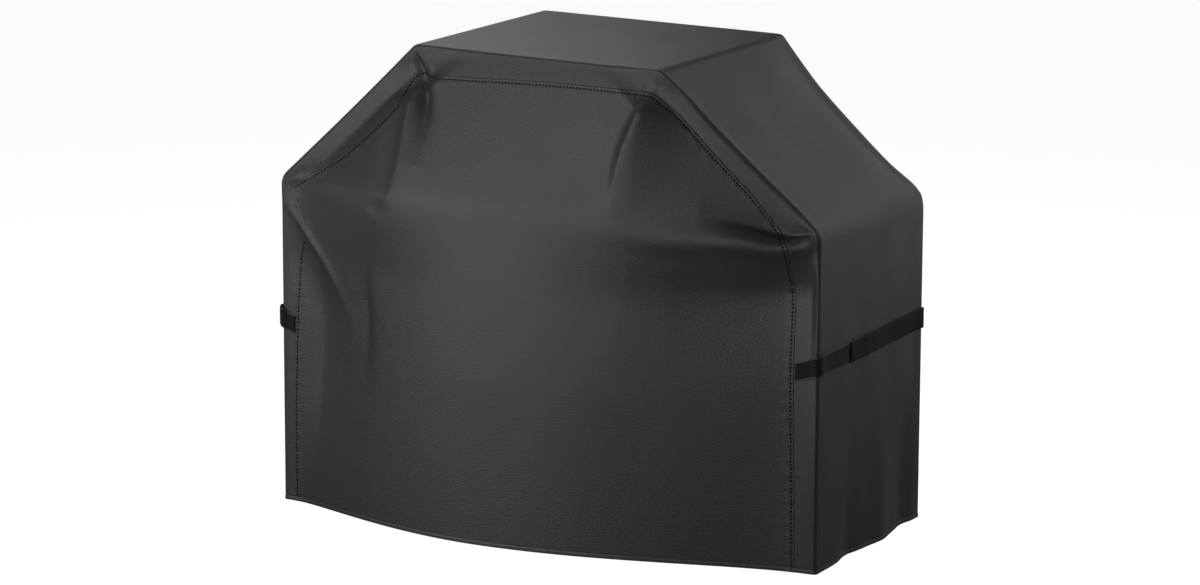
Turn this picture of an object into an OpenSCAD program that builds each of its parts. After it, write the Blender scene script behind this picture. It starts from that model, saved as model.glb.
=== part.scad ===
// Fitted cloth cover for a cart grill. A front and a back panel are joined by one long
// band that runs up a side, over the top and down the other side. The band is turned
// onto both panels, and each side has a hook-and-loop strap to draw the cover in.
//
// Frame: X across the width, Y from front (-) to back (+), Z up.
// Origin: on the ground plane of the hem, in the middle of the overall width and depth.

/* [Body] */
// Width over the two sides
body_w = 1470; // [1300:10:1800]
// Depth between the front edge and the back edge
body_d = 600; // [500:10:700]
// Height from the hem to the flat top
body_h = 1180; // [1100:10:1260]
// Width of the flat top
top_w = 690; // [560:10:820]
// Height of the shoulders, where the upright sides turn into the slopes
shoulder_h = 820; // [760:10:880]
// How far the front swells over the grill's control panel, at the hem
front_swell = 145; // [20:5:150]
// How far the back swells, at the hem
back_swell = 30; // [5:5:60]
// Share of the swell that is left at the height of the shoulders
swell_left = 0.72; // [0.3:0.02:1]

/* [Cloth] */
// Thickness of the coated cloth
cloth_t = 1; // [0.6:0.1:1.5]
// Outside radius of the band's four bends
bend_r = 22; // [10:1:40]
// Width of the band that is turned onto the front and the back
turn_w = 75; // [60:1:90]
// Width of the lap, where a panel lies over the turned edge of the band
lap_w = 14; // [10:1:20]
// Distance from a panel's folded edge to its row of stitches
stitch_in = 8; // [4:1:9]
// Height of the turned hem
hem_h = 10; // [8:1:30]
// Width of the waterproof tape inside each long seam
tape_w = 24; // [16:1:30]
// Thickness of that tape
tape_t = 0.5; // [0.3:0.1:0.8]
// Thickness of the sewing thread
thread_t = 1.2; // [0.8:0.1:1.6]

/* [Straps] */
// Width of the strap and of the tab that it closes on
strap_w = 50; // [38:1:60]
// Height of the right strap's middle above the hem
strap_z = 505; // [400:1:600]
// How much lower the left strap hangs than the right one
left_drop = 35; // [0:1:60]
// Thickness of the strap webbing
strap_t = 1.2; // [1:0.1:2]
// Distance of the strap's free end from the front edge
strap_tip = 170; // [120:5:220]
// Length of strap that lies on the tab
overlap_l = 95; // [60:5:120]
// Width of the loop tape on the tab
loop_w = 41; // [30:1:46]
// Thickness of the loop tape
loop_t = 1.2; // [0.8:0.1:2]
// Thickness of the hook patch
hook_t = 1; // [0.8:0.1:1.6]

/* [Hidden] */

half_w = body_w / 2;
half_d = body_d / 2;
slope_a = atan2(body_h - shoulder_h, (body_w - top_w) / 2);
// Facets in each of the band's four bends
bend_steps = 6;
// Clearance between pieces that are not sewn to each other
gap = 0.3;
// Width of the flat strip along a panel's sewn edges
edge_flat = 24;
// Grid of a panel: columns across, rows below the shoulders and rows above them
columns = 20;
low_rows = 6;
high_rows = 6;

cloth_colour = [0.23, 0.23, 0.23];
trim_colour = [0.10, 0.10, 0.10];
tape_colour = [0.55, 0.55, 0.57];

// The swell differs from front to back, so the body stands a little behind the origin
module placed() {
    translate([0, (front_swell - back_swell) / 2, 0]) children();
}

module left() {
    mirror([1, 0, 0]) children();
}

module back() {
    mirror([0, 1, 0]) children();
}

module both_sides() {
    children();
    left() children();
}

// ---- Outline of the cover seen from the front, in X and Z ----

// The right shoulder and the right top corner of the outline moved inward by inset
function shoulder(inset) =
    [half_w - inset, shoulder_h - inset * (1 - sin(slope_a)) / cos(slope_a)];
function top_corner(inset) =
    [top_w / 2 - inset * (1 - cos(slope_a)) / sin(slope_a), body_h - inset];

// A rounded corner between two edges whose outward normals stand at a0 and a1 degrees
function bend(corner, a0, a1, r) =
    let (mid = (a0 + a1) / 2, centre = corner - r / cos((a1 - a0) / 2) * [cos(mid), sin(mid)])
    r <= 0 ? [corner]
           : [for (k = [0:bend_steps])
                 let (a = a0 + (a1 - a0) * k / bend_steps) centre + r * [cos(a), sin(a)]];

function right_half(inset) =
    let (r = max(bend_r - inset, 0), slope_normal = 90 - slope_a)
    concat(bend(shoulder(inset), 0, slope_normal, r),
           bend(top_corner(inset), slope_normal, 90, r));

function backward(points) = [for (k = [len(points) - 1:-1:0]) points[k]];
function mirrored(points) = [for (p = backward(points)) [-p.x, p.y]];

// The whole outline with its feet at height z0
function outline(inset, z0) =
    concat([[half_w - inset, z0]], right_half(inset), mirrored(right_half(inset)),
           [[inset - half_w, z0]]);

// An arch between two insets of the outline, from y0 to y1
module arch(inset0, inset1, y0, y1, z0 = 0) {
    translate([0, y1, 0])
        rotate([90, 0, 0])
            linear_extrude(y1 - y0)
                polygon(concat(outline(inset0, z0), backward(outline(inset1, z0))));
}

// ---- Panels: a swollen sheet inside the turned edge of the band ----

edge_low = shoulder(turn_w);
edge_high = top_corner(turn_w);
last_column = columns + 2;

// Half the width of a panel at height z
function panel_half(z) =
    z <= edge_low.y ? edge_low.x
        : edge_low.x + (edge_high.x - edge_low.x) * (z - edge_low.y) / (edge_high.y - edge_low.y);

// Rows of the grid, with one at each end of the hem's step and one on the ridge
rows = concat(
    [0, hem_h, hem_h + 1],
    [for (k = [1:low_rows]) hem_h + 1 + (edge_low.y - hem_h - 1) * k / low_rows],
    [for (k = [1:high_rows])
        edge_low.y + (edge_high.y - edge_flat - edge_low.y) * k / high_rows],
    [edge_high.y]);

// Place of a column across the swollen part, from -1 to 1
function across(i) = min(max(2 * (i - 1) / columns - 1, -1), 1);

function column_x(i, z) =
    let (h = panel_half(z))
    i == 0 ? -h : i == last_column ? h : across(i) * (h - edge_flat);

// Share of the full swell: widest at the hem, a ridge at the shoulders, none at the seams
function swell(i, z) =
    let (top = edge_high.y - edge_flat,
         upright = z <= edge_low.y ? 1 - (1 - swell_left) * z / edge_low.y
                                   : swell_left * max(top - z, 0) / (top - edge_low.y))
    upright * sin(90 * pow(1 - abs(across(i)), 1.2));

// The turned hem doubles the cloth, clear of the band under the lap
function hem_turn(i, z) = z <= hem_h && i > 1 && i < last_column - 1 ? cloth_t : 0;

module panel(amount) {
    nx = last_column + 1;
    nz = len(rows);
    n = nx * nz;
    outer_points = [for (z = rows) for (i = [0:last_column])
        [column_x(i, z), -half_d - cloth_t - amount * swell(i, z), z]];
    inner_points = [for (z = rows) for (i = [0:last_column])
        [column_x(i, z), hem_turn(i, z) - half_d - amount * swell(i, z), z]];
    outer = [for (j = [0:nz - 2]) for (i = [0:nx - 2])
        let (a = j * nx + i) for (t = [[a, a + nx + 1, a + 1], [a, a + nx, a + nx + 1]]) t];
    inner = [for (t = outer) [t[0] + n, t[2] + n, t[1] + n]];
    rim = concat(
        [for (i = [0:nx - 2]) [i, i + 1]],
        [for (j = [0:nz - 2]) [j * nx + nx - 1, (j + 1) * nx + nx - 1]],
        [for (i = [nx - 2:-1:0]) [(nz - 1) * nx + i + 1, (nz - 1) * nx + i]],
        [for (j = [nz - 2:-1:0]) [(j + 1) * nx, j * nx]]);
    walls = [for (e = rim) for (t = [[e[0], e[1], e[1] + n], [e[0], e[1] + n, e[0] + n]]) t];
    polyhedron(points = concat(outer_points, inner_points), faces = concat(outer, inner, walls));
}

module front_panel() {
    color(cloth_colour) placed() panel(front_swell);
}

module back_panel() {
    color(cloth_colour) placed() back() panel(back_swell);
}

// ---- Band: up one side, over the top and down the other, turned onto both faces ----

module top_and_side_band() {
    turned = turn_w + lap_w;
    color(cloth_colour) placed() {
        arch(0, cloth_t, -half_d, half_d);
        arch(0, turned, -half_d, cloth_t - half_d);
        arch(0, turned, half_d - cloth_t, half_d);
        both_sides() {
            translate([half_w - 2 * cloth_t, -half_d, 0]) cube([2 * cloth_t, body_d, hem_h]);
            for (y = [-half_d, half_d - 2 * cloth_t])
                translate([half_w - turned, y, 0]) cube([turned, 2 * cloth_t, hem_h]);
        }
    }
}

// ---- Seams, made for the front ----

module seam_tape() {
    middle = turn_w + lap_w;
    y0 = cloth_t - half_d;
    arch(middle - tape_w / 2, middle + tape_w / 2, y0, y0 + tape_t, hem_h + 2);
}

module seam_thread() {
    middle = turn_w + stitch_in;
    y0 = -half_d - cloth_t;
    arch(middle - thread_t / 2, middle + thread_t / 2, y0 - thread_t / 2, y0, 4);
}

// A straight run of thread on the turned edge of the band, between two points in X and Z
module thread_run(p, q) {
    run = q - p;
    translate([p.x, -half_d, p.y])
        rotate([0, -atan2(run.y, run.x), 0])
            translate([0, -thread_t / 2, -thread_t / 2])
                cube([norm(run), thread_t / 2, thread_t]);
}

// The mitres that take up the band's turned edge at its four bends
module dart_threads() {
    start = bend_r * 0.4;
    stop = turn_w - 3;
    both_sides() {
        thread_run(shoulder(start), shoulder(stop));
        thread_run(top_corner(start), top_corner(stop));
    }
}

module front_seam_tape() {
    color(tape_colour) placed() seam_tape();
}

module back_seam_tape() {
    color(tape_colour) placed() back() seam_tape();
}

module front_seam_thread() {
    color(trim_colour) placed() seam_thread();
}

module back_seam_thread() {
    color(trim_colour) placed() back() seam_thread();
}

module front_dart_threads() {
    color(trim_colour) placed() dart_threads();
}

module back_dart_threads() {
    color(trim_colour) placed() back() dart_threads();
}

// ---- Straps, made for the right side ----

module left_side() {
    translate([0, 0, -left_drop]) left() children();
}

tab_x = half_w + gap + cloth_t / 2;
tab_y = -half_d - gap - cloth_t / 2;
tab_end = strap_tip + overlap_l - half_d;
loop_x = tab_x + cloth_t / 2;
hook_x = loop_x + loop_t + gap;
strap_x = hook_x + hook_t + strap_t / 2;
strap_y = half_d + gap + strap_t / 2;
tip_y = strap_tip - half_d;

// A flat strip on edge, of width w about the strap's middle height
module strip(x0, x1, y0, y1, w) {
    translate([x0, y0, strap_z - w / 2]) cube([x1 - x0, y1 - y0, w]);
}

// The rolled line on its axis that a strip turns about
module turn_line(x, y, t) {
    translate([x, y, strap_z - strap_w / 2]) cylinder(d = t, h = strap_w, $fn = 32);
}

// The part of the tab that is sewn into the front seam and reaches the front corner
module tab_root() {
    strip(half_w - turn_w + gap, tab_x - cloth_t / 2 - gap, tab_y - cloth_t / 2,
          tab_y + cloth_t / 2, strap_w);
}

// The part that lies on the side, from the front corner back
module tab() {
    turn_line(tab_x, tab_y, cloth_t);
    strip(tab_x - cloth_t / 2, tab_x + cloth_t / 2, tab_y, tab_end, strap_w);
}

module loop_tape_root() {
    strip(half_w - turn_w + 3, half_w - 3, tab_y - cloth_t / 2 - loop_t, tab_y - cloth_t / 2,
          loop_w);
}

module loop_tape() {
    strip(loop_x, loop_x + loop_t, 4 - half_d, tab_end - 3, loop_w);
}

// The part of the strap that is sewn into the back seam and reaches the back corner
module strap_root() {
    strip(half_w - turn_w + gap, strap_x - strap_t / 2 - gap, strap_y - strap_t / 2,
          strap_y + strap_t / 2, strap_w);
}

// The part that lies along the side, from the back corner to the free end
module strap() {
    turn_line(strap_x, strap_y, strap_t);
    strip(strap_x - strap_t / 2, strap_x + strap_t / 2, tip_y, strap_y, strap_w);
}

module hook_patch() {
    strip(hook_x, hook_x + hook_t, tip_y + 3, tip_y + overlap_l - 5, loop_w);
}

// The rectangle of stitches that holds the hook patch, on the outside of the strap
module strap_thread() {
    x0 = strap_x + strap_t / 2;
    y0 = tip_y + 5;
    y1 = tip_y + overlap_l - 7;
    height = loop_w - 5;
    difference() {
        strip(x0, x0 + thread_t / 2, y0, y1, height);
        strip(x0 - 1, x0 + thread_t, y0 + thread_t, y1 - thread_t, height - 2 * thread_t);
    }
}

module right_tab_root() {
    color(cloth_colour) placed() tab_root();
}

module right_tab() {
    color(cloth_colour) placed() tab();
}

module right_loop_tape_root() {
    color(trim_colour) placed() loop_tape_root();
}

module right_loop_tape() {
    color(trim_colour) placed() loop_tape();
}

module right_strap_root() {
    color(trim_colour) placed() strap_root();
}

module right_strap() {
    color(trim_colour) placed() strap();
}

module right_hook_patch() {
    color(trim_colour) placed() hook_patch();
}

module right_strap_thread() {
    color(trim_colour) placed() strap_thread();
}

module left_tab_root() {
    color(cloth_colour) placed() left_side() tab_root();
}

module left_tab() {
    color(cloth_colour) placed() left_side() tab();
}

module left_loop_tape_root() {
    color(trim_colour) placed() left_side() loop_tape_root();
}

module left_loop_tape() {
    color(trim_colour) placed() left_side() loop_tape();
}

module left_strap_root() {
    color(trim_colour) placed() left_side() strap_root();
}

module left_strap() {
    color(trim_colour) placed() left_side() strap();
}

module left_hook_patch() {
    color(trim_colour) placed() left_side() hook_patch();
}

module left_strap_thread() {
    color(trim_colour) placed() left_side() strap_thread();
}

front_panel();
back_panel();
top_and_side_band();
front_seam_tape();
back_seam_tape();
front_seam_thread();
back_seam_thread();
front_dart_threads();
back_dart_threads();
right_tab_root();
right_tab();
right_loop_tape_root();
right_loop_tape();
right_strap_root();
right_strap();
right_hook_patch();
right_strap_thread();
left_tab_root();
left_tab();
left_loop_tape_root();
left_loop_tape();
left_strap_root();
left_strap();
left_hook_patch();
left_strap_thread();
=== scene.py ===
"""Cloth cover for a cart grill, standing as it does over the grill.

Every cloth piece is cut from one description of the cover's outer surface: the outline seen
from the front, the band that follows it, and the swell and folds of the front and the back.
"""

import math

import bpy
import numpy as np
from mathutils import Matrix, Vector


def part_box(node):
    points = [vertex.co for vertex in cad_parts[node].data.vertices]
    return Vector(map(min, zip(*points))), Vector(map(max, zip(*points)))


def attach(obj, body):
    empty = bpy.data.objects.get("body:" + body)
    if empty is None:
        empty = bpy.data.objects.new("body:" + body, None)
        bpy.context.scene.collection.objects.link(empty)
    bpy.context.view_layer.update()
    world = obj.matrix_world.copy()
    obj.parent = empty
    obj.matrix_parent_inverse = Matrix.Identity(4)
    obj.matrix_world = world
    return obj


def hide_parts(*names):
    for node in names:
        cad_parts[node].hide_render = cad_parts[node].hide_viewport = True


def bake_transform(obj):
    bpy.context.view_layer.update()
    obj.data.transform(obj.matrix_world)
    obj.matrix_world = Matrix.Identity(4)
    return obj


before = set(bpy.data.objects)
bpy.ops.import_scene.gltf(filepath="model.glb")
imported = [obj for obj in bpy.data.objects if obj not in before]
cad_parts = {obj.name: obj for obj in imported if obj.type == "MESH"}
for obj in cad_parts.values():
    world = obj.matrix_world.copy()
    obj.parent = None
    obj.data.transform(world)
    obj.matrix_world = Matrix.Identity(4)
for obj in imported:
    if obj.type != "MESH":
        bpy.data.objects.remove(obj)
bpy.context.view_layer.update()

# ---------------------------------------------------------------- sizes, in metres

band_low, band_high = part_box("top_and_side_band")
HALF_W = band_high.x
TOP_Z = band_high.z
MID_Y = (band_low.y + band_high.y) / 2
HALF_D = (band_high.y - band_low.y) / 2
SHOULDER_Z = 0.820
TOP_HALF = 0.345
SLOPE = math.atan2(TOP_Z - SHOULDER_Z, HALF_W - TOP_HALF)
TWIST = math.radians(-3.2)
# the band comes in over the front and the back by TURN, and LAP more lies under the panels
TURN = 0.075
LAP = 0.014
STITCH_IN = 0.008
# radius of the band's long edges, on the left side, the left slope, the top, the right slope
# and the right side
LEFT_R = 0.017
FOLD_R = 0.011
TOP_R = 0.007
SLOPE_R = 0.026
RIGHT_R = 0.008
# how far a strap's tip stops behind the front edge, and how far it lies on its tab
STRAP_W = 0.050
TAPE_W = 0.0415
STRAP_TIP = 0.170
OVERLAP = 0.095
CLOTH_T = 0.0009
# how short the outline's corners bend where the cloth is creased
CREASED = 0.004
# the width of a dent that runs on along the outline
LONG = 9
# place, reach and step of the closer rows of points at the hem
HEM_ROWS = (0.009, 0.009, 0.0015)
SEAM_THREAD_R = 0.0014


def smooth(v, low, high):
    t = np.clip((v - low) / (high - low), 0, 1)
    return t * t * (3 - 2 * t)


def mix(a, b, w):
    return a * (1 - w) + b * w


def ramp(knots, blur):
    """A smooth function through (position, value) knots."""
    at, value = np.array(knots, float).T
    xs = np.linspace(at[0], at[-1], 400)
    ys = np.interp(xs, at, value)
    step = xs[1] - xs[0]
    reach = max(int(3 * blur / step), 1)
    kernel = np.exp(-0.5 * (np.arange(-reach, reach + 1) * step / blur) ** 2)
    padded = np.concatenate([2 * ys[0] - ys[reach:0:-1], ys, 2 * ys[-1] - ys[-2 : -reach - 2 : -1]])
    table = np.convolve(padded, kernel / kernel.sum(), "valid")
    return lambda v: np.interp(v, xs, table)


class Ripple:
    """A sum of sine waves in random directions, about 1 high at most."""

    def __init__(self, seed, wavelength, count=7, stretch=(1, 1)):
        rng = np.random.default_rng(seed)
        angle = rng.uniform(0, math.pi, count)
        k = 2 * math.pi / (wavelength * rng.uniform(0.7, 1.6, count))
        self.kx, self.ky = k * np.cos(angle) / stretch[0], k * np.sin(angle) / stretch[1]
        self.phase = rng.uniform(0, 2 * math.pi, count)
        self.scale = 1 / math.sqrt(count)

    def __call__(self, x, y):
        waves = np.sin(np.multiply.outer(x, self.kx) + np.multiply.outer(y, self.ky) + self.phase)
        return waves.sum(-1) * self.scale


def spline(points, pieces=6):
    """Rows along a smooth curve through the given rows."""
    p = np.array(points, float)
    p = np.vstack([2 * p[0] - p[1], p, 2 * p[-1] - p[-2]])
    t = np.linspace(0, 1, pieces, endpoint=False)[:, None]
    rows = []
    for p0, p1, p2, p3 in zip(p, p[1:], p[2:], p[3:]):
        cubic = 2 * p1 + (p2 - p0) * t + (2 * p0 - 5 * p1 + 4 * p2 - p3) * t**2
        rows.append(0.5 * (cubic + (3 * p1 - p0 - 3 * p2 + p3) * t**3))
    return np.vstack(rows + [p[-2:-1]])


def beside(u, v, line):
    """Distance from a line, positive to the left of someone walking along it, and the line's
    height and width scale at the nearest place. Rows of the line are (u, v, height[, width])."""
    rows = spline([row if len(row) > 3 else (*row, 1.0) for row in line])
    best = np.full(u.shape, 1e9)
    signed, height, width = np.full(u.shape, 1e9), np.zeros(u.shape), np.ones(u.shape)
    for (u0, v0, h0, w0), (u1, v1, h1, w1) in zip(rows, rows[1:]):
        du, dv = u1 - u0, v1 - v0
        t = np.clip(((u - u0) * du + (v - v0) * dv) / (du * du + dv * dv), 0, 1)
        ou, ov = u - u0 - t * du, v - v0 - t * dv
        distance = np.hypot(ou, ov)
        nearer = distance < best
        best = np.where(nearer, distance, best)
        signed = np.where(nearer, np.where(du * ov - dv * ou > 0, distance, -distance), signed)
        height = np.where(nearer, mix(h0, h1, t), height)
        width = np.where(nearer, np.maximum(mix(w0, w1, t), 0.1), width)
    return signed, height, width


def fold(u, v, line, left, right, power=2.0):
    """Height of a ridge or groove along a line, left and right wide on its two sides."""
    signed, height, width = beside(u, v, line)
    return height * np.exp(-((abs(signed) / (np.where(signed > 0, left, right) * width)) ** power))


def step(u, v, line, wall, reach):
    """A drop to the left of a line, steep over wall and made up again over reach."""
    signed, height, width = beside(u, v, line)
    d = 0.5 * (signed + np.sqrt(signed**2 + 0.003**2))
    return -height * (1 - np.exp(-d / (wall * width))) * np.exp(-((d / (reach * width)) ** 2))


def drop(u, v, line, ease, reach):
    """A drop to the left of a line, as wide as the line's width column, steepest at its foot."""
    signed, height, width = beside(u, v, line)
    t = np.maximum(signed, 0) / width
    wall = t**ease / (1 + t ** (5 * ease)) ** 0.2
    return -height * wall * np.exp(-((np.maximum(signed, 0) / reach) ** 2))


def dent(u, v, u0, v0, height, width_u, width_v=None):
    width_v = width_v or width_u
    return height * np.exp(-(((u - u0) / width_u) ** 2) - ((v - v0) / width_v) ** 2)


# ---------------------------------------------------------------- the outline, in X and Z


def corners(d):
    """The outline's six corners, moved inward by d, from the left foot to the right foot."""
    sx = HALF_W - d
    sz = SHOULDER_Z - d * (1 - math.sin(SLOPE)) / math.cos(SLOPE)
    tx = TOP_HALF - d * (1 - math.cos(SLOPE)) / math.sin(SLOPE)
    tz = TOP_Z - d
    foot = np.zeros_like(d)
    return np.array([[-sx, foot], [-sx, sz], [-tx, tz], [tx, tz], [sx, sz], [sx, foot]])


OUTER = corners(np.zeros(1))[:, :, 0]
LENGTHS = np.linalg.norm(np.diff(OUTER, axis=0), axis=1)
STARTS = np.concatenate([[0], np.cumsum(LENGTHS)])
TOTAL = STARTS[-1]
NORMALS = np.array(
    [
        [-1, 0],
        [-math.sin(SLOPE), math.cos(SLOPE)],
        [0, 1],
        [math.sin(SLOPE), math.cos(SLOPE)],
        [1, 0],
    ]
)


def outline(s, d, bend):
    """X and Z at distance s along the outer outline, moved inward by d, with its corners
    rounded over bend."""
    q = corners(d)
    at = np.arange(len(s))
    k = np.clip(np.searchsorted(STARTS, s, side="right") - 1, 0, 4)
    f = (s - STARTS[k]) / LENGTHS[k]
    x = mix(q[k, 0, at], q[k + 1, 0, at], f)
    z = mix(q[k, 1, at], q[k + 1, 1, at], f)
    for c in range(1, 5):
        r = bend[:, c - 1]
        w = (s - STARTS[c] + r) / (2 * r)
        near = (w > 0) & (w < 1)
        for axis, out in ((0, x), (1, z)):
            before = mix(q[c, axis], q[c - 1, axis], r / LENGTHS[c - 1])
            after = mix(q[c, axis], q[c + 1, axis], r / LENGTHS[c])
            curve = (1 - w) ** 2 * before + 2 * w * (1 - w) * q[c, axis] + w**2 * after
            out[near] = curve[near]
    return x, z


def outward(s):
    """The outline's outward normal, turned smoothly at its corners."""
    k = np.clip(np.searchsorted(STARTS, s, side="right") - 1, 0, 4)
    n = NORMALS[k].copy()
    ease = 0.035
    for c in range(1, 5):
        w = smooth(s, STARTS[c] - ease, STARTS[c] + ease)
        near = (w > 0) & (w < 1)
        n[near] = mix(NORMALS[c - 1], NORMALS[c], w[near, None])
    return n / np.linalg.norm(n, axis=1, keepdims=True)


def edge_distance(x, z):
    """Distance inward from the outline."""
    slope = (HALF_W - abs(x)) * math.sin(SLOPE) + (SHOULDER_Z - z) * math.cos(SLOPE)
    return np.minimum(np.minimum(HALF_W - abs(x), slope), TOP_Z - z)


# ---------------------------------------------------------------- swell and folds

# by height: the swell of the front, the two ends of the grill's lid in it, and the back's swell
front_upright = ramp(
    [
        (-0.2, 0.158), (0.0, 0.149), (0.4, 0.130), (0.80, 0.0995), (0.83, 0.095), (1.105, 0.021),
        (1.18, 0), (1.3, 0),
    ],
    0.012,
)
lid_left = ramp(
    [
        (0, -0.40), (0.79, -0.385), (0.84, -0.371), (0.94, -0.355), (1.09, -0.346), (1.18, -0.343),
    ],
    0.02,
)
lid_right = ramp(
    [
        (0, 0.22), (0.80, 0.225), (0.90, 0.25), (0.98, 0.265), (1.11, 0.305), (1.18, 0.32),
    ],
    0.02,
)
back_upright = ramp([(-0.2, 1.05), (0.0, 1.0), (0.80, 0.6), (1.18, 0.0), (1.3, 0.0)], 0.04)
# small unevenness of the cloth
front_ripple = Ripple(3, 0.34, stretch=(1, 1.6))
back_ripple = Ripple(11, 0.20, stretch=(1, 2.6))
band_ripple = Ripple(17, 0.22)


def half_width(z):
    return np.clip(HALF_W - (z - SHOULDER_Z) / math.tan(SLOPE), TOP_HALF, HALF_W)


def soft_min(a, b, k):
    h = np.clip(0.5 + 0.5 * (b - a) / k, 0, 1)
    return mix(b, a, h) - k * h * (1 - h)


# each has its shape, its line of (x, z, height[, width]), and what else the shape takes
FRONT_FOLDS = (
    # the lid's left end, and the fold that falls from the corner above it
    (
        step,
        [
            (-0.394, 0.785, 0.0), (-0.371, 0.836, 0.005), (-0.361, 0.886, 0.008),
            (-0.355, 0.942, 0.010), (-0.350, 1.011, 0.010), (-0.346, 1.091, 0.005),
            (-0.345, 1.14, 0.0),
        ],
        0.016, 0.055,
    ),
    (
        fold,
        [
            (-0.340, 1.150, -0.004, 0.4), (-0.331, 1.125, -0.014, 0.6),
            (-0.314, 1.09, -0.025, 0.9), (-0.302, 1.05, -0.026, 1.1), (-0.299, 1.01, -0.017, 1.3),
            (-0.302, 0.96, -0.007, 1.5), (-0.303, 0.90, 0, 1.6),
        ],
        0.018, 0.030, 1.25,
    ),
    # the left shoulder's crease, with the cloth falling away below it
    (
        fold,
        [
            (-0.742, 0.787, 0.001), (-0.700, 0.738, 0.004), (-0.666, 0.700, 0.005),
            (-0.632, 0.661, 0.006), (-0.599, 0.620, 0.005), (-0.572, 0.582, 0.004),
            (-0.54, 0.532, 0.002), (-0.51, 0.48, 0),
        ],
        0.013, 0.009, 1.4,
    ),
    (
        drop,
        [
            (-0.48, 0.42, 0, 0.06), (-0.51, 0.48, 0.005, 0.050), (-0.54, 0.532, 0.011, 0.044),
            (-0.572, 0.581, 0.017, 0.038), (-0.599, 0.618, 0.021, 0.034),
            (-0.632, 0.659, 0.023, 0.030), (-0.666, 0.698, 0.019, 0.026),
            (-0.70, 0.735, 0.011, 0.020), (-0.73, 0.772, 0.002, 0.014),
        ],
        1.4, 0.085,
    ),
    # the shallow hollow below it, whose right side climbs to a soft brim
    (
        fold,
        [
            (-0.60, 0.80, 0), (-0.60, 0.70, -0.002), (-0.60, 0.60, -0.008), (-0.60, 0.50, -0.017),
            (-0.600, 0.38, -0.020), (-0.605, 0.24, -0.011), (-0.61, 0.12, -0.003),
            (-0.61, 0.02, 0),
        ],
        0.150, 0.050, 2.2,
    ),
    (
        fold,
        [
            (-0.445, 0.72, 0), (-0.455, 0.65, -0.002, 0.8), (-0.460, 0.58, -0.007, 0.9),
            (-0.455, 0.52, -0.010), (-0.453, 0.45, -0.008, 1.1), (-0.462, 0.36, -0.003, 1.4),
            (-0.475, 0.27, 0, 1.6),
        ],
        0.018, 0.055, 1.5,
    ),
    # the right end of the lid: a leaf-shaped wall that climbs to a broad ridge
    (
        fold,
        [
            (0.322, 1.145, 0.0, 0.3), (0.313, 1.118, 0.003, 0.35), (0.301, 1.092, 0.009, 0.6),
            (0.290, 1.064, 0.014, 0.75), (0.277, 1.03, 0.017, 0.9), (0.258, 0.98, 0.017, 1.0),
            (0.245, 0.932, 0.013, 1.0), (0.234, 0.88, 0.006, 1.0), (0.230, 0.83, 0, 1.0),
        ],
        0.105, 0.017, 1.6,
    ),
    # the right shoulder's pinch: a crease, a ridge and a long drop under it
    (
        fold,
        [
            (0.742, 0.826, -0.002, 0.5), (0.71, 0.820, -0.012, 0.6), (0.665, 0.810, -0.024, 0.8),
            (0.622, 0.812, -0.024, 1.1), (0.565, 0.825, -0.015, 1.4), (0.50, 0.838, -0.006, 1.6),
            (0.44, 0.845, 0, 1.6),
        ],
        0.012, 0.034, 1.4,
    ),
    (
        fold,
        [
            (0.742, 0.806, 0.003), (0.702, 0.798, 0.008), (0.639, 0.787, 0.014),
            (0.548, 0.789, 0.015), (0.457, 0.786, 0.011), (0.361, 0.785, 0.007),
            (0.289, 0.788, 0.003), (0.2, 0.80, 0),
        ],
        0.030, 0.030, 2.2,
    ),
    (
        drop,
        [
            (0.742, 0.799, 0.004, 0.008), (0.712, 0.793, 0.018, 0.016),
            (0.67, 0.782, 0.031, 0.028), (0.62, 0.772, 0.036, 0.044), (0.56, 0.764, 0.033, 0.060),
            (0.50, 0.760, 0.026, 0.075), (0.43, 0.762, 0.018, 0.080), (0.36, 0.768, 0.008, 0.075),
            (0.28, 0.78, 0, 0.07),
        ],
        1.5, 0.21,
    ),
    # the turned edge's lit end at the left shoulder
    (
        fold,
        [
            (-0.73, 0.812, 0.002), (-0.672, 0.830, 0.005), (-0.62, 0.853, 0.003), (-0.58, 0.88, 0),
        ],
        0.018, 0.013,
    ),
)


def front_shape(x, z):
    """How far the front stands in front of its flat plane."""
    wide = half_width(z)
    flat = mix(0.055, 0.075, smooth(z, 0.74, 0.90))
    crown = -0.09 * wide / HALF_W
    left = x < crown

    def risen(from_left, from_right, to_left, to_right):
        q = np.where(left, from_left / to_left, from_right / to_right)
        return 0.5 * (q + np.sqrt(q * q + 0.05**2))

    u = risen(x + wide - flat, wide - x - flat, crown + wide - flat, wide - crown - flat)
    bulge = np.sin(math.pi / 2 * np.clip(u, 0, 1) ** np.where(left, 1.05, 1.2))
    near, far = x + wide - flat, wide - x - flat
    least = mix(0.03, 0.10, smooth(z, 0.86, 1.18))
    to_left = np.maximum(wide + lid_left(z) - flat, least)
    to_right = np.maximum(wide - lid_right(z) - flat, least)
    u = risen(near, far, to_left, to_right)
    lid = soft_min(np.clip(u, 0, 9), np.ones_like(x), 0.12)
    b = front_upright(z) * mix(bulge, lid, smooth(z, 0.60, 0.85))
    f = np.zeros_like(x)
    for shape, line, *sizes in FRONT_FOLDS:
        f += shape(x, z, line, *sizes)
    # two dents, beside the top of the corner fold and at the foot of the lid's left end
    f += dent(x, z, -0.286, 1.112, -0.004, 0.016, 0.016)
    f += dent(x, z, -0.412, 0.790, -0.005, 0.034, 0.020)
    f += 0.0010 * front_ripple(x, z)
    # down the slopes the turned edge leans away toward its fold
    slopes = smooth(z, 0.80, 0.87) * smooth(-z, -1.17, -1.11)
    for k, lean in ((1, 0.005), (3, 0.010)):
        d = -((x - OUTER[k][0]) * NORMALS[k][0] + (z - OUTER[k][1]) * NORMALS[k][1])
        b = b - lean * slopes * np.exp(-((np.maximum(d, 0) / 0.042) ** 2))
    return b + f * smooth(edge_distance(x, z), 0.0, 0.03)


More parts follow.
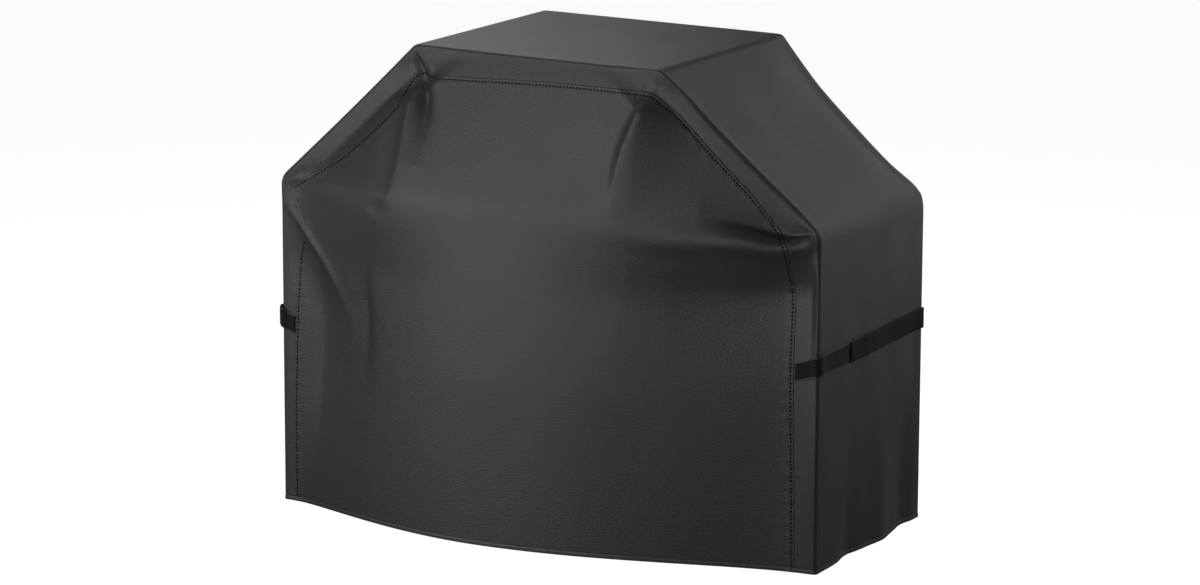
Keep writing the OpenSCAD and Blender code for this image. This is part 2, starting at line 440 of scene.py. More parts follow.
def back_shape(x, z):
    """How far the back stands behind its flat plane."""
    u = np.clip(1 - abs(x) / half_width(z), 0, 1)
    b = 0.032 * np.sin(math.pi / 2 * u**1.2) * back_upright(z)
    f = np.zeros_like(x)
    hollow = [(0.72, 0.80, -0.001), (0.60, 0.74, -0.009), (0.45, 0.70, -0.004), (0.35, 0.70, 0)]
    brow = [(0.72, 0.79, 0.002), (0.60, 0.79, 0.008), (0.45, 0.80, 0.005), (0.3, 0.81, 0)]
    lid_end = [(0.30, 1.10, -0.002), (0.26, 0.98, -0.009), (0.24, 0.85, 0)]
    for side in (-1, 1):
        f += fold(side * x, z, hollow, 0.04, 0.03)
        f += fold(side * x, z, brow, 0.02, 0.02)
        f += fold(side * x, z, lid_end, 0.025, 0.02)
    f += fold(x, z, [(-0.5, 0.66, 0), (-0.44, 0.4, -0.009), (-0.40, 0.0, -0.012)], 0.06, 0.06)
    f += fold(x, z, [(0.36, 0.72, 0), (0.34, 0.4, -0.008), (0.30, 0.0, -0.013)], 0.06, 0.07)
    f += fold(x, z, [(0.02, 0.6, 0), (-0.02, 0.3, 0.006), (-0.04, 0.0, 0.010)], 0.07, 0.07)
    f += 0.003 * back_ripple(x, z)
    return b + f * smooth(edge_distance(x, z), 0.0, 0.03)


def band_shape(s, y):
    """How far the band stands outside the outline, at y from the middle of its depth."""
    h = np.zeros_like(s)
    inner = smooth(HALF_D - abs(y), 0.0, 0.05)
    # the slopes hang between their corners, and more so towards the back
    for k, hang in ((1, -0.010), (3, -0.012)):
        along = np.clip((s - STARTS[k]) / LENGTHS[k], 0, 1)
        h += hang * np.sin(math.pi * along) ** 1.3 * inner
        h -= 0.018 * np.sin(math.pi * along) ** 0.7 * smooth(y, 0.10, 0.33) ** 1.5
    # the top sags a little in its middle
    across = np.clip(1 - (y / HALF_D) ** 2, 0, 1)
    from_left = smooth(s, STARTS[2] + 0.05, STARTS[2] + 0.3)
    from_right = smooth(-s, -STARTS[3] + 0.05, -STARTS[3] + 0.3)
    h -= 0.004 * from_left * from_right * across
    # the sides wave towards the hem: one fold stands out between two that go in
    for foot in (s, TOTAL - s):
        low = smooth(-foot, -0.42, -0.02)
        pair = dent(foot, y, 0, 0.06, 0.010, LONG, 0.055)
        pair = pair + dent(foot, y, 0, -0.11, -0.010, LONG, 0.05)
        h += low * pair
        h += low * dent(foot, y, 0, 0.205, -0.011, LONG, 0.045)
    bends = np.min([abs(s - c) for c in STARTS[1:5]], axis=0)
    top = (s > STARTS[2]) & (s < STARTS[3])
    h += np.where(top, 0.0006, 0.0014) * band_ripple(s, y) * inner * smooth(bends, 0.02, 0.12)
    return h


# how far inside (+) or outside (-) its even line the sewn edge really runs, round the outline
seam_drift = ramp(
    [
        (-0.2, -0.039), (0.26, -0.039), (0.39, -0.035), (0.50, -0.031), (0.62, -0.025),
        (0.69, -0.002), (0.74, -0.012), (0.80, -0.036),
        (0.86, -0.025), (0.93, -0.018), (1.01, -0.001),
        (1.14, 0.005), (1.22, 0.004), (1.28, -0.024), (1.31, -0.034),
        (1.37, -0.006), (1.53, -0.012), (1.69, -0.019), (1.86, -0.022), (1.99, -0.021),
        (2.06, -0.018), (2.14, -0.028), (2.27, -0.022), (2.40, -0.018), (2.51, 0.000),
        (2.65, 0.003), (2.73, -0.006), (2.97, -0.012), (3.21, -0.019), (3.6, -0.024),
    ],
    0.014,
)


def inplane(x, z):
    """Slides the front's sewn edge off its even line, as the cloth is drawn round the
    shoulders."""
    shares, pulls = [], []
    for k in range(5):
        start, normal = OUTER[k], NORMALS[k]
        along = (OUTER[k + 1] - start) / LENGTHS[k]
        d = -((x - start[0]) * normal[0] + (z - start[1]) * normal[1])
        s = STARTS[k] + (x - start[0]) * along[0] + (z - start[1]) * along[1]
        beyond = np.maximum(d - TURN - LAP, 0)
        pull = seam_drift(s) * smooth(d, 0.0, 0.065) * np.exp(-((beyond / 0.09) ** 2))
        shares.append(np.exp(-d / 0.012))
        pulls.append(pull)
    total = sum(shares)
    # the seam is drawn further out near the left shoulder
    shoulder = dent(x, z, -0.665, 0.785, 0.020, 0.045, 0.04)
    x = x - shoulder * smooth(edge_distance(x, z), 0.01, 0.07)
    for share, pull, normal in zip(shares, pulls, NORMALS):
        x = x - normal[0] * pull * share / total
        z = z - normal[1] * pull * share / total
    return x, z


def turn(x, y, z):
    """The top stands turned a few degrees from the hem."""
    a = TWIST * smooth(z, 0.80, 1.22)
    c, s = np.cos(a), np.sin(a)
    return np.stack([x * c - y * s, x * s + y * c + MID_Y, z], -1)


def face_point(x, z, lift, back=False):
    """A point on the front or back face, lift outside the band's turned edge."""
    if back:
        return turn(x, HALF_D + back_shape(x, z) + lift, z)
    x, z = inplane(x, z)
    return turn(x, -HALF_D - front_shape(x, z) - lift, z)


# the band's edge is tightest along the top and the right side, and roundest on the right slope
fold_radius = ramp(
    [
        (0, LEFT_R), (0.76, LEFT_R), (0.90, FOLD_R), (STARTS[2] - 0.02, FOLD_R),
        (STARTS[2] + 0.03, TOP_R), (STARTS[3] - 0.03, TOP_R), (STARTS[3] + 0.01, FOLD_R),
        (STARTS[3] + 0.15, SLOPE_R), (STARTS[4] - 0.10, SLOPE_R), (STARTS[4] + 0.01, RIGHT_R),
        (TOTAL, RIGHT_R),
    ],
    0.01,
)


def turned_depth(s, t):
    """How far inside the outline the band has come at t, once it has turned the edge."""
    r = fold_radius(s)
    return np.maximum(abs(t) - (HALF_D - r) - r * math.pi / 2, 0) + r


def band_point(s, t, lift):
    """A point on the band: s along the outline, t across it from front (-) to back (+)."""
    a, r = abs(t), fold_radius(s)
    flat = HALF_D - r
    arc = r * math.pi / 2
    phi = np.clip((a - flat) / r, 0, math.pi / 2)
    d = r * (1 - np.cos(phi)) + np.maximum(a - flat - arc, 0)
    y = np.sign(t) * (np.minimum(a, flat) + r * np.sin(phi))
    depth = smooth(t, -HALF_D, HALF_D)
    tight = smooth(d, 0.0, 0.02)
    shoulder_bend = mix(0.020 + 0.026 * depth, CREASED, tight)
    top_bend = mix(0.014, CREASED, tight)
    bend = np.stack([shoulder_bend, top_bend, top_bend, shoulder_bend], -1)
    x, z = outline(s, d, bend)
    n = outward(s)
    out = band_shape(s, y) * np.cos(phi) + lift * np.cos(phi)
    x, z = x + n[:, 0] * out, z + n[:, 1] * out
    # the hem stays on the floor
    z = np.where((s <= 0) | (s >= TOTAL), 0, z)
    fx, fz = inplane(x, z)
    front = t < 0
    turned = np.where(front, np.sin(phi), 0)
    x, z = mix(x, fx, turned), mix(z, fz, turned)
    swell = np.where(front, -front_shape(x, z), back_shape(x, z))
    y = y + swell * np.sin(phi)
    y = y + np.sign(t) * lift * np.sin(phi)
    return turn(x, y, z)


# ---------------------------------------------------------------- mesh helpers


def make_mesh(name, points, faces, uv=None, materials=()):
    mesh = bpy.data.meshes.new(name)
    mesh.from_pydata(points.tolist(), [], faces.tolist())
    if uv is not None:
        layer = mesh.uv_layers.new(name="UVMap")
        index = np.empty(len(mesh.loops), int)
        mesh.loops.foreach_get("vertex_index", index)
        layer.data.foreach_set("uv", uv[index].astype(np.float32).ravel())
    mesh.polygons.foreach_set("use_smooth", np.ones(len(mesh.polygons), bool))
    mesh.update()
    obj = bpy.data.objects.new(name, mesh)
    bpy.context.scene.collection.objects.link(obj)
    for m in materials:
        mesh.materials.append(m)
    return obj


def grid_faces(rows, columns, flip=False):
    a = (np.arange(rows - 1)[:, None] * columns + np.arange(columns - 1)).ravel()
    quads = np.stack([a, a + 1, a + columns + 1, a + columns], 1)
    return quads[:, ::-1] if flip else quads


def sheet_of(name, points, uv, shape, materials, thickness, flip=False):
    """A cloth piece from a grid of points on its outer face."""
    obj = make_mesh(name, points, grid_faces(*shape, flip), uv, materials)
    solid = obj.modifiers.new("thickness", "SOLIDIFY")
    solid.thickness = thickness
    solid.offset = -1
    if len(materials) > 1:
        solid.material_offset = 1
    return obj


def wear_of(obj, values):
    """Stores how worn or handled each point is, for the materials."""
    attribute = obj.data.attributes.new("wear", "FLOAT", "POINT")
    attribute.data.foreach_set("value", values.astype(np.float32))


def spaced(low, high, step, fine=()):
    """Positions from low to high, closer together round each (place, reach, fine step)."""
    marks = {low, high}
    marks.update(np.arange(low, high, step).tolist())
    for place, reach, small in fine:
        marks = {m for m in marks if abs(m - place) > reach or m in (low, high)}
        finer = np.arange(place - reach, place + reach + small / 2, small).tolist()
        marks.update(v for v in finer if low <= v <= high)
    marks = sorted(marks)
    keep = [marks[0]]
    closest = 0.0006
    for m in marks[1:]:
        if m - keep[-1] > closest:
            keep.append(m)
    keep[-1] = marks[-1]
    return np.array(keep)


# ---------------------------------------------------------------- materials


class Nodes:
    def __init__(self, name):
        self.material = bpy.data.materials.new(name)
        self.material.use_nodes = True
        self.tree = self.material.node_tree
        self.shader = next(n for n in self.tree.nodes if n.type == "BSDF_PRINCIPLED")

    def add(self, kind, inputs=None, **settings):
        node = self.tree.nodes.new(kind)
        for key, value in settings.items():
            setattr(node, key, value)
        for key, value in (inputs or {}).items():
            socket = node.inputs[key]
            if isinstance(value, bpy.types.NodeSocket):
                self.tree.links.new(value, socket)
            else:
                socket.default_value = value
        return node

    def math(self, operation, a, b=0.5, clamp=False):
        node = self.add("ShaderNodeMath", {0: a, 1: b}, operation=operation, use_clamp=clamp)
        return node.outputs[0]

    def paint(self, tone, colour, darkest, lightest):
        """One colour, from darkest to lightest times its strength as tone goes from 0 to 1."""
        mixer = self.add("ShaderNodeMix", data_type="RGBA")
        self.tree.links.new(tone, mixer.inputs[0])
        mixer.inputs[6].default_value = [c * darkest for c in colour] + [1]
        mixer.inputs[7].default_value = [c * lightest for c in colour] + [1]
        return mixer.outputs[2]

    def set(self, **values):
        for key, value in values.items():
            socket = self.shader.inputs[key.replace("_", " ")]
            if isinstance(value, bpy.types.NodeSocket):
                self.tree.links.new(value, socket)
            else:
                socket.default_value = value


def weave_height(n, vector, pitch, twill=0.0):
    """Height of a plain weave at the given pitch, with some slanting twill in it."""
    split = n.add("ShaderNodeSeparateXYZ", {0: vector})
    k = math.pi / pitch
    a = n.math("SINE", n.math("MULTIPLY", split.outputs[0], k))
    b = n.math("SINE", n.math("MULTIPLY", split.outputs[1], k))
    plain = n.math("MULTIPLY", a, b)
    if twill:
        run_x = n.math("MULTIPLY", split.outputs[0], k * 0.5)
        run_y = n.math("MULTIPLY", split.outputs[1], k * 0.5)
        run = n.math("ADD", run_x, run_y)
        plain = n.math("MULTIPLY", plain, 1 - twill)
        plain = n.math("ADD", plain, n.math("MULTIPLY", n.math("SINE", run), twill))
    return plain


def cloth_material(name, colour, roughness, pitch, sheen, bump, twill=0.0, specular=0.5):
    """Woven cloth or webbing: weave, thick and thin threads, clouding, and paler worn edges."""
    n = Nodes(name)
    uv = n.add("ShaderNodeUVMap", uv_map="UVMap").outputs[0]
    place = n.add("ShaderNodeTexCoord").outputs["Object"]
    weave = weave_height(n, uv, pitch, twill)
    along = n.add("ShaderNodeMapping", {"Vector": uv, "Scale": (1.0, 2.4, 1.0)}).outputs[0]
    across = n.add("ShaderNodeMapping", {"Vector": uv, "Scale": (2.4, 1.0, 1.0)}).outputs[0]
    coarse = {"Vector": along, "Scale": 0.24 / pitch, "Detail": 3.0}
    weft = n.add("ShaderNodeTexNoise", coarse).outputs[0]
    coarse = {"Vector": across, "Scale": 0.28 / pitch, "Detail": 3.0}
    warp = n.add("ShaderNodeTexNoise", coarse).outputs[0]
    thick = n.math("ADD", n.math("MULTIPLY", weft, 0.6), n.math("MULTIPLY", warp, 0.4))
    clouding = {"Vector": place, "Scale": 4.0, "Detail": 5.0, "Roughness": 0.6}
    cloud = n.add("ShaderNodeTexNoise", clouding).outputs[0]
    wear = n.add("ShaderNodeAttribute", attribute_name="wear").outputs["Fac"]
    tone = n.math("ADD", n.math("MULTIPLY", weave, 0.16), n.math("MULTIPLY", thick, 0.7))
    tone = n.math("ADD", tone, n.math("MULTIPLY", cloud, 0.25))
    tone = n.math("ADD", tone, n.math("MULTIPLY", wear, 0.5), clamp=True)
    paint = n.paint(tone, colour, 0.6, 1.5)
    rough = n.math("ADD", n.math("MULTIPLY", cloud, 0.08), n.math("MULTIPLY", thick, 0.12))
    rough = n.math("ADD", rough, roughness - 0.10)
    height = n.math("ADD", n.math("MULTIPLY", weave, 0.5), n.math("MULTIPLY", thick, 6.0))
    relief = {"Strength": bump, "Distance": 0.0004, "Height": height}
    normal = n.add("ShaderNodeBump", relief).outputs[0]
    n.set(Base_Color=paint, Roughness=rough, Normal=normal)
    n.set(Sheen_Weight=sheen, Sheen_Roughness=0.45, Specular_IOR_Level=specular)
    return n.material


CLOTH = cloth_material(
    "charcoal_oxford", (0.016, 0.016, 0.0163), 0.50, 0.0016, 0.04, bump=0.5, twill=0.4
)
LINING = cloth_material("grey_coating", (0.085, 0.085, 0.088), 0.42, 0.0009, 0.0, bump=0.15)
WEBBING = cloth_material(
    "woven_webbing", (0.005, 0.005, 0.0052), 0.60, 0.0018, 0.0, bump=0.6, twill=0.6, specular=0.15
)


def plain_material(name, colour, roughness, scale, bump, sheen=0.0):
    """Thread, pile or film: a fine grain over one dark colour."""
    n = Nodes(name)
    place = n.add("ShaderNodeTexCoord").outputs["Object"]
    fine = {"Vector": place, "Scale": scale, "Detail": 4.0, "Roughness": 0.7}
    grain = n.add("ShaderNodeTexNoise", fine).outputs[0]
    paint = n.paint(grain, colour, 0.5, 1.5)
    relief = {"Strength": bump, "Distance": 0.0006, "Height": grain}
    normal = n.add("ShaderNodeBump", relief).outputs[0]
    n.set(Base_Color=paint, Roughness=roughness, Normal=normal)
    n.set(Sheen_Weight=sheen, Sheen_Roughness=0.5, Specular_IOR_Level=0.2)
    return n.material


# the thread's near-black colour is partly the thread's own dark colour and partly painted shade of
# the needle holes it sinks into
THREAD_WITH_HOLE_SHADE = plain_material("bonded_thread_and_painted_hole_shade", (0.0025, 0.0025, 0.0025), 0.8, 900, 0.3)
PILE = plain_material("loop_pile", (0.009, 0.009, 0.009), 0.85, 520, 1.0, sheen=0.05)
HOOKS = plain_material("moulded_hooks", (0.014, 0.014, 0.014), 0.45, 700, 1.0)
FILM = plain_material("seam_film", (0.10, 0.10, 0.105), 0.3, 60, 0.2)


# ---------------------------------------------------------------- cloth pieces


def pucker(s, distance, seed):
    """Small gathers that a row of stitches draws in the cloth beside it."""
    rng = np.random.default_rng(seed)
    wave = np.sin(2 * math.pi * s / 0.031 + 2.0 * np.sin(s * 9.0) + rng.uniform(0, 6))
    wave = wave + 0.6 * np.sin(2 * math.pi * s / 0.017 + 1.0)
    return 0.00030 * wave * np.exp(-((distance / 0.020) ** 2))


def panel_rise(d):
    """Height of a panel over the turned edge under it, at distance d inside its folded edge."""
    fold_over = 0.0007 * np.sqrt(np.clip(1 - (1 - np.clip(d / 0.0020, 0, 1)) ** 2, 0, 1))
    stitched = 0.0005 * np.exp(-(((d - STITCH_IN) / 0.0026) ** 2))
    lower = 0.0005 * smooth(d, 0.011, 0.024)
    return fold_over - stitched - lower


def hem_rise(z):
    """The rolled hem is double, with a groove over it."""
    groove = 0.0005 * np.exp(-(((z - 0.0105) / 0.0012) ** 2))
    return 0.0010 * smooth(-z, -0.0095, -0.0080) - groove


def edge_x(z, d):
    """Half the width of the outline at height z, moved inward by d."""
    sx, sz = HALF_W - d, SHOULDER_Z - d * (1 - math.sin(SLOPE)) / math.cos(SLOPE)
    return np.where(z <= sz, sx, sx - (z - sz) / math.tan(SLOPE))


def make_panel(name, back):
    """The front or the back, inside the band's turned edge, from rows that narrow up the slopes."""
    top = TOP_Z - TURN
    near = np.array(
        [0, 0.0006, 0.0014, 0.0024, 0.004, 0.006, 0.008, 0.010, 0.013, 0.017, 0.022, 0.028]
    )
    zs = spaced(0, top - near[-1], 0.0075 if back else 0.0045, [HEM_ROWS])
    zs = np.concatenate([zs, (top - near[::-1])[1:]])
    columns = 180 if back else 290
    inner = np.linspace(-1, 1, columns)[1:-1]
    rows = []
    for z in zs:
        edges = np.array([float(edge_x(z, TURN + d)) for d in near])
        rows.append(np.concatenate([-edges, inner * edges[-1], edges[::-1]]))
    X = np.array(rows)
    Z = np.repeat(zs[:, None], X.shape[1], 1)
    x, z = X.ravel(), Z.ravel()
    d = edge_distance(x, z) - TURN
    # up the sides the seam runs in z, and over the slopes and the top it runs in x
    s = np.where(z < 0.79, z, x)
    gathers = pucker(s, d - STITCH_IN, 7 if back else 2)
    lift = panel_rise(np.maximum(d, 0)) + gathers + hem_rise(z)
    points = face_point(x, z, lift, back)
    uv = np.stack([x, z], -1)
    obj = sheet_of(name, points, uv, X.shape, [CLOTH, LINING], CLOTH_T, flip=back)
    wear_of(obj, np.zeros(x.shape))
    return obj


def make_band():
    """The top and the sides in one piece, turned over the front and back edges."""
    fine = [(c, 0.05, 0.0035) for c in STARTS[1:5]]
    fine += [HEM_ROWS, (TOTAL - HEM_ROWS[0], *HEM_ROWS[1:])]
    ss = spaced(0, TOTAL, 0.008, fine)
    reach = HALF_D - FOLD_R * (2 - math.pi / 2) + TURN + LAP
    flat = np.linspace(0, 0.262, 38)
    edge = np.linspace(0.2665, 0.316, 20)
    half = np.concatenate([flat, edge, np.linspace(0.3205, reach, 14)])
    ts = np.concatenate([-half[:0:-1], half])
    S, T = np.meshgrid(ss, ts, indexing="ij")
    s, t = S.ravel(), T.ravel()
    foot = np.minimum(s, TOTAL - s)
    d = turned_depth(s, t)
    gutter = 0.0003 * np.exp(-(((TURN + 0.0005 - d) / 0.0035) ** 2))
    lift = hem_rise(foot) + pucker(s, TURN - d, 5) - gutter
    points = band_point(s, t, lift)
    uv = np.stack([t, s], -1)
    name = "top_and_side_band_cloth"
    obj = sheet_of(name, points, uv, S.shape, [CLOTH, LINING], CLOTH_T, flip=True)
    bend = np.min([abs(s - c) for c in STARTS[1:5]], axis=0)
    edge_wear = 0.35 * np.exp(-(((abs(t) - HALF_D + 0.004) / 0.007) ** 2))
    wear_of(obj, edge_wear + 0.2 * np.exp(-((bend / 0.012) ** 2)))
    return obj


front = make_panel("front_panel_cloth", back=False)
back = make_panel("back_panel_cloth", back=True)
band = make_band()

# ---------------------------------------------------------------- seams


def path_on_face(distance, inset, lift, back):
    """Points on the face at distances along the outline, inset from it."""
    d = np.full(distance.shape, inset)
    x, z = outline(distance, d, np.full((len(distance), 4), CREASED))
    return face_point(x, z, np.full(distance.shape, lift), back)


def stitch_mesh(name, starts, ends, out, radius):
    """Stitches as small bars of thread that dive into the cloth at both ends."""
    sides = 6
    stations = np.array([0, 0.12, 0.35, 0.65, 0.88, 1.0])
    depth = np.array([-1.6, -0.2, 0.55, 0.55, -0.2, -1.6]) * radius
    along = ends - starts
    length = np.linalg.norm(along, axis=1, keepdims=True)
    along = along / length
    out = out - (out * along).sum(1, keepdims=True) * along
    out = out / np.linalg.norm(out, axis=1, keepdims=True)
    across = np.cross(along, out)
    angle = np.arange(sides) * 2 * math.pi / sides
    n = len(starts)
    centre = starts[:, None] + along[:, None] * (length[:, None] * stations[:, None])
    centre = centre + out[:, None] * depth[:, None]
    ring = out[:, None] * np.cos(angle)[:, None] + across[:, None] * np.sin(angle)[:, None]
    points = centre[:, :, None] + radius * ring[:, None]
    a = np.arange(n)[:, None, None] * (len(stations) * sides)
    b = a + np.arange(len(stations) - 1)[None, :, None] * sides
    i, j = np.arange(sides), (np.arange(sides) + 1) % sides
    loops = np.broadcast_arrays(b + i, b + j, b + sides + j, b + sides + i)
    quads = np.stack(loops, -1).reshape(-1, 4)
    return make_mesh(name, points.reshape(-1, 3), quads, materials=[THREAD_WITH_HOLE_SHADE])


def row_of_stitches(path, pitch, length):
    """Start and end points of stitches along a path of points."""
    run = np.concatenate([[0], np.cumsum(np.linalg.norm(np.diff(path, axis=0), axis=1))])
    at = np.arange(pitch, run[-1] - length, pitch)

    def take(v):
        return np.stack([np.interp(v, run, path[:, k]) for k in range(3)], -1)

    return take(at), take(at + length)


def stitched(name, paths, facing, radius, pitch, length):
    """One piece with a row of stitches along each path, on cloth that faces the given way."""
    pairs = [row_of_stitches(path, pitch, length) for path in paths]
    starts, ends = (np.concatenate(points) for points in zip(*pairs))
    return stitch_mesh(name, starts, ends, np.zeros(starts.shape) + facing, radius)


def face_direction(back):
    return (0, 1, 0) if back else (0, -1, 0)


def seam_stitches(name, back):
    """The row that holds a panel to the band."""
    low, high = 0.004, TOTAL - 0.004
    # the front's left crease hangs over a short stretch of its seam
    stretches = [(low, high)] if back else [(low, 0.70), (0.818, high)]
    inset = TURN + STITCH_IN
    paths = [path_on_face(np.linspace(a, b, 1200), inset, 0.0014, back) for a, b in stretches]
    return stitched(name, paths, face_direction(back), SEAM_THREAD_R, 0.0094, 0.0054)


front_stitches = seam_stitches("front_seam_stitches", False)
back_stitches = seam_stitches("back_seam_stitches", True)


def seam_film(name, back):
    """The tape that seals a seam on the inside."""
    ss = spaced(0.013, TOTAL - 0.013, 0.01, [(c, 0.03, 0.003) for c in STARTS[1:5]])
    middle = TURN + LAP
    dd = np.linspace(middle - 0.012, middle + 0.012, 6)
    points = np.concatenate([path_on_face(ss, d, -0.0018, back) for d in dd])
    uv = np.concatenate([np.stack([np.full(len(ss), d), ss], -1) for d in dd])
    return sheet_of(name, points, uv, (len(dd), len(ss)), [FILM], 0.0003, flip=not back)


front_film = seam_film("front_seam_film", False)
back_film = seam_film("back_seam_film", True)


def dart_stitches(name, back):
    """The short rows where the band's turned edge is taken in at the outline's corners."""
    inset = np.linspace(0.014, TURN - 0.004, 40)
    paths = []
    for corner in STARTS[1:5]:
        at = np.full(inset.shape, corner)
        x, z = outline(at, inset, np.full((len(at), 4), CREASED))
        paths.append(face_point(x, z, np.full(at.shape, 0.0005), back))
    return stitched(name, paths, face_direction(back), 0.0006, 0.0085, 0.005)


front_darts = dart_stitches("front_dart_stitches", False)
back_darts = dart_stitches("back_dart_stitches", True)

# ---------------------------------------------------------------- straps


def strap_strip(name, side, z0, t0, t1, width, lift, thickness, material, proud, rim=0.0):
    """A strip on the band's surface at height z0, from t0 to t1 across the band, its outer face
    lift above the band and proud(t) more, with a raised rim."""
    fine = [(place, 0.03, 0.0022) for place in (-HALF_D, HALF_D) if t0 < place < t1]
    ts = spaced(t0, t1, 0.006, fine)
    half = width / 2
    low_rim = [-half, -half + 0.0006, -half + 0.0016]
    middle = np.linspace(-half + 0.004, half - 0.004, 9)
    high_rim = [half - 0.0016, half - 0.0006, half]
    T, V = np.meshgrid(ts, np.concatenate([low_rim, middle, high_rim]), indexing="ij")
    t, v = T.ravel(), V.ravel()
    edge = half - abs(v)
    raised = lift + rim * smooth(-edge, -0.0042, -0.0030)
    raised = raised - 0.0005 * np.exp(-((edge / 0.0008) ** 2))
    points = band_point(side_distance(side, z0, v), t, raised + proud(t))
    uv = np.stack([t, v], -1)
    return sheet_of(name, points, uv, T.shape, [material], thickness, flip=side > 0)


def side_distance(side, z0, v):
    """Distance along the outline at height z0 + v on the right (1) or left (-1) side."""
    return z0 + v if side < 0 else TOTAL - (z0 + v)


def stand_off(place, height, reach):
    """A strip's stand-off where it bends round a corner of the band."""
    return lambda t: height * np.exp(-(((t - place) / reach) ** 2))


def make_side(side, word):
    """The tab, its loop tape, the strap, its hook patch and its stitches on one side."""
    low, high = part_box(f"{word}_strap")
    z0 = (low.z + high.z) / 2
    seam = HALF_D + TURN - (2 - math.pi / 2) * FOLD_R - 0.0005
    tip = -HALF_D + STRAP_TIP
    tab_end = -HALF_D + STRAP_TIP + OVERLAP
    at_front = stand_off(-HALF_D, 0.004 if side > 0 else 0.007, 0.035)
    at_back = stand_off(HALF_D, 0.003, 0.03)

    def over_tab(t):
        return at_back(t) + 0.0024 * smooth(-t, -(tab_end + 0.03), -(tab_end - 0.002))

    def strip(part, t0, t1, *sizes, proud, rim=0.0):
        return strap_strip(f"{word}_{part}", side, z0, t0, t1, *sizes, proud, rim)

    # each strip's width, the height of its outer face above the band, and its thickness
    sizes = (STRAP_W, 0.0012, CLOTH_T, CLOTH)
    tab = strip("tab_cloth", -seam, tab_end, *sizes, proud=at_front, rim=0.0006)
    sizes = (TAPE_W, 0.0026, 0.0012, PILE)
    loop = strip("loop_tape_pile", -seam + 0.002, tab_end - 0.003, *sizes, proud=at_front)
    sizes = (STRAP_W, 0.0030, 0.0013, WEBBING)
    strap = strip("strap_webbing", tip, seam, *sizes, proud=over_tab)
    sizes = (TAPE_W, 0.0037, 0.0009, HOOKS)
    ends = (tip + 0.003, tip + OVERLAP - 0.005)
    patch = strip("hook_patch_tape", *ends, *sizes, proud=np.zeros_like)

    # the thread goes round the patch, on the outside of the strap
    t0, t1, h = tip + 0.005, tip + OVERLAP - 0.007, 0.018
    loop_round = [(t0, -h), (t1, -h), (t1, h), (t0, h), (t0, -h)]
    paths = []
    for (ta, va), (tb, vb) in zip(loop_round, loop_round[1:]):
        f = np.linspace(0, 1, 60)
        t, v = ta + (tb - ta) * f, va + (vb - va) * f
        paths.append(band_point(side_distance(side, z0, v), t, 0.0030 + over_tab(t) + 0.0001))
    thread = stitched(f"{word}_strap_stitches", paths, (side, 0, 0), 0.0004, 0.0042, 0.0030)

    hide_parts(f"{word}_tab_root", f"{word}_tab")
    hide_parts(f"{word}_loop_tape_root", f"{word}_loop_tape")
    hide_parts(f"{word}_strap_root", f"{word}_strap")
    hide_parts(f"{word}_hook_patch")
    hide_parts(f"{word}_strap_thread")
    # each strip bends round its corner of the band over a short stretch; here the tab, the loop
    # tape and the strap are baked where they lie
    for piece in (tab, loop):
        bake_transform(piece)
    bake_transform(strap)
    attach(patch, f"{word}_strap")
    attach(thread, f"{word}_strap")


make_side(1, "right")
make_side(-1, "left")

for piece, node, slot in (
    (front, "front_panel", "cloth"),
    (back, "back_panel", "cloth"),
    (band, "top_and_side_band", "cloth"),
    (front_stitches, "front_seam_thread", "thread"),
    (back_stitches, "back_seam_thread", "thread"),
    (front_film, "front_seam_tape", "seam_tape"),
    (back_film, "back_seam_tape", "seam_tape"),
    (front_darts, "front_dart_threads", "thread"),
    (back_darts, "back_dart_threads", "thread"),
):
    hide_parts(node)
    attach(piece, "cover")

# ---------------------------------------------------------------- floor, light and camera


def area_light(name, place, aim, size, power):
    data = bpy.data.lights.new(name, "AREA")
    data.shape = "RECTANGLE"
    data.size, data.size_y = size
    data.energy = power
    obj = bpy.data.objects.new(name, data)
    bpy.context.scene.collection.objects.link(obj)
    obj.location = place
    obj.rotation_euler = (Vector(aim) - Vector(place)).to_track_quat("-Z", "Y").to_euler()
    obj.visible_camera = False


floor_mesh = bpy.data.meshes.new("floor")
reach = 30
floor_corners = [(-reach, -reach, 0), (reach, -reach, 0), (reach, reach, 0), (-reach, reach, 0)]
floor_mesh.from_pydata(floor_corners, [], [(0, 1, 2, 3)])
floor = bpy.data.objects.new("floor", floor_mesh)
bpy.context.scene.collection.objects.link(floor)
# the floor glows a little and is hidden from the cloth, so it is white and lights nothing
floor_nodes = Nodes("pale_floor")
floor_nodes.set(Base_Color=(0.3, 0.3, 0.3, 1), Roughness=0.95, Specular_IOR_Level=0.0)
floor_nodes.set(Emission_Color=(1, 1, 1, 1), Emission_Strength=0.95)
floor_mesh.materials.append(floor_nodes.material)
floor.location.z = -0.0005
floor.visible_glossy = False
floor.visible_diffuse = False

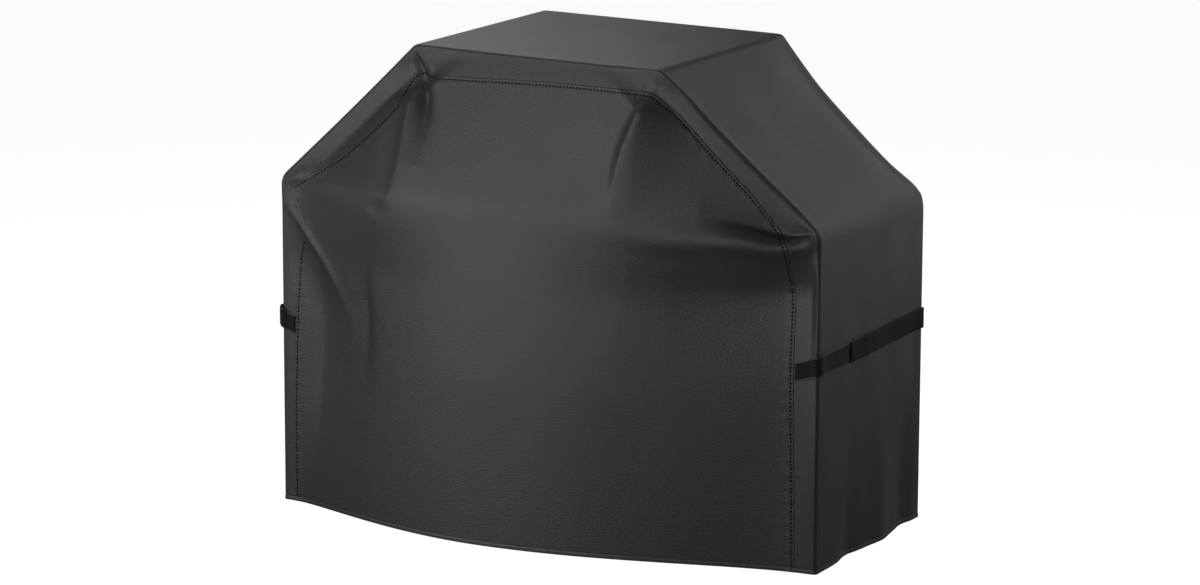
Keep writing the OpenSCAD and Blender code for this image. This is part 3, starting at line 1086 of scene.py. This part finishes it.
# the room is dim, and a little lighter below the eye than above it
world = bpy.data.worlds.new("studio")
bpy.context.scene.world = world
world.use_nodes = True
sky = world.node_tree
direction = sky.nodes.new("ShaderNodeTexCoord")
split = sky.nodes.new("ShaderNodeSeparateXYZ")
shade = sky.nodes.new("ShaderNodeMapRange")
shade.interpolation_type = "SMOOTHSTEP"
for socket, value in enumerate((-0.25, 0.25, 0.13, 0.015), 1):
    shade.inputs[socket].default_value = value
sky.links.new(direction.outputs["Generated"], split.inputs[0])
sky.links.new(split.outputs[2], shade.inputs[0])
sky.links.new(shade.outputs[0], sky.nodes["Background"].inputs[1])
sky.nodes["Background"].inputs[0].default_value = (1, 1, 1, 1)
bpy.context.scene.view_settings.view_transform = "Standard"

area_light("front", (-1.3, -2.8, 1.10), (0, -0.3, 0.72), (3.5, 1.9), 75)
area_light("top_edge", (-1.3, 0.35, 3.5), (0, -0.25, 1.15), (1.2, 1.6), 24)
area_light("slope_edge", (2.2, 0.85, 3.8), (0.5, -0.2, 1.0), (1.1, 1.1), 46)
area_light("slope", (1.3, 3.4, 2.1), (0.6, 0.1, 0.9), (1.8, 1.2), 10)
area_light("side", (1.9, 2.4, 0.85), (0.735, 0.05, 0.6), (1.4, 1.2), 5)
area_light("corner", (3.0, 0.6, 0.7), (0.735, -0.2, 0.5), (4.0, 1.0), 6)
area_light("top_left", (-1.5, 1.8, 2.55), (-0.2, 0.2, 1.1), (1.3, 1.3), 10)

target = Vector((0.0005, MID_Y, 0.5469))
distance = 11.913
azimuth, elevation, roll = math.radians(27.568), math.radians(12.655), math.radians(0.187)
level = math.cos(elevation)
away = Vector((math.sin(azimuth) * level, -math.cos(azimuth) * level, math.sin(elevation)))
right = Vector((math.cos(azimuth), math.sin(azimuth), 0))
up = away.cross(right)
tilted_right = math.cos(roll) * right + math.sin(roll) * up
tilted_up = math.cos(roll) * up - math.sin(roll) * right
camera = bpy.data.objects.new("camera", bpy.data.cameras.new("camera"))
bpy.context.scene.collection.objects.link(camera)
camera.data.sensor_width = 36
camera.data.lens = 145.18
camera.data.clip_end = 100
axes = Matrix((tilted_right, tilted_up, away)).transposed().to_4x4()
camera.matrix_world = Matrix.Translation(target + away * distance) @ axes
bpy.context.scene.camera = camera
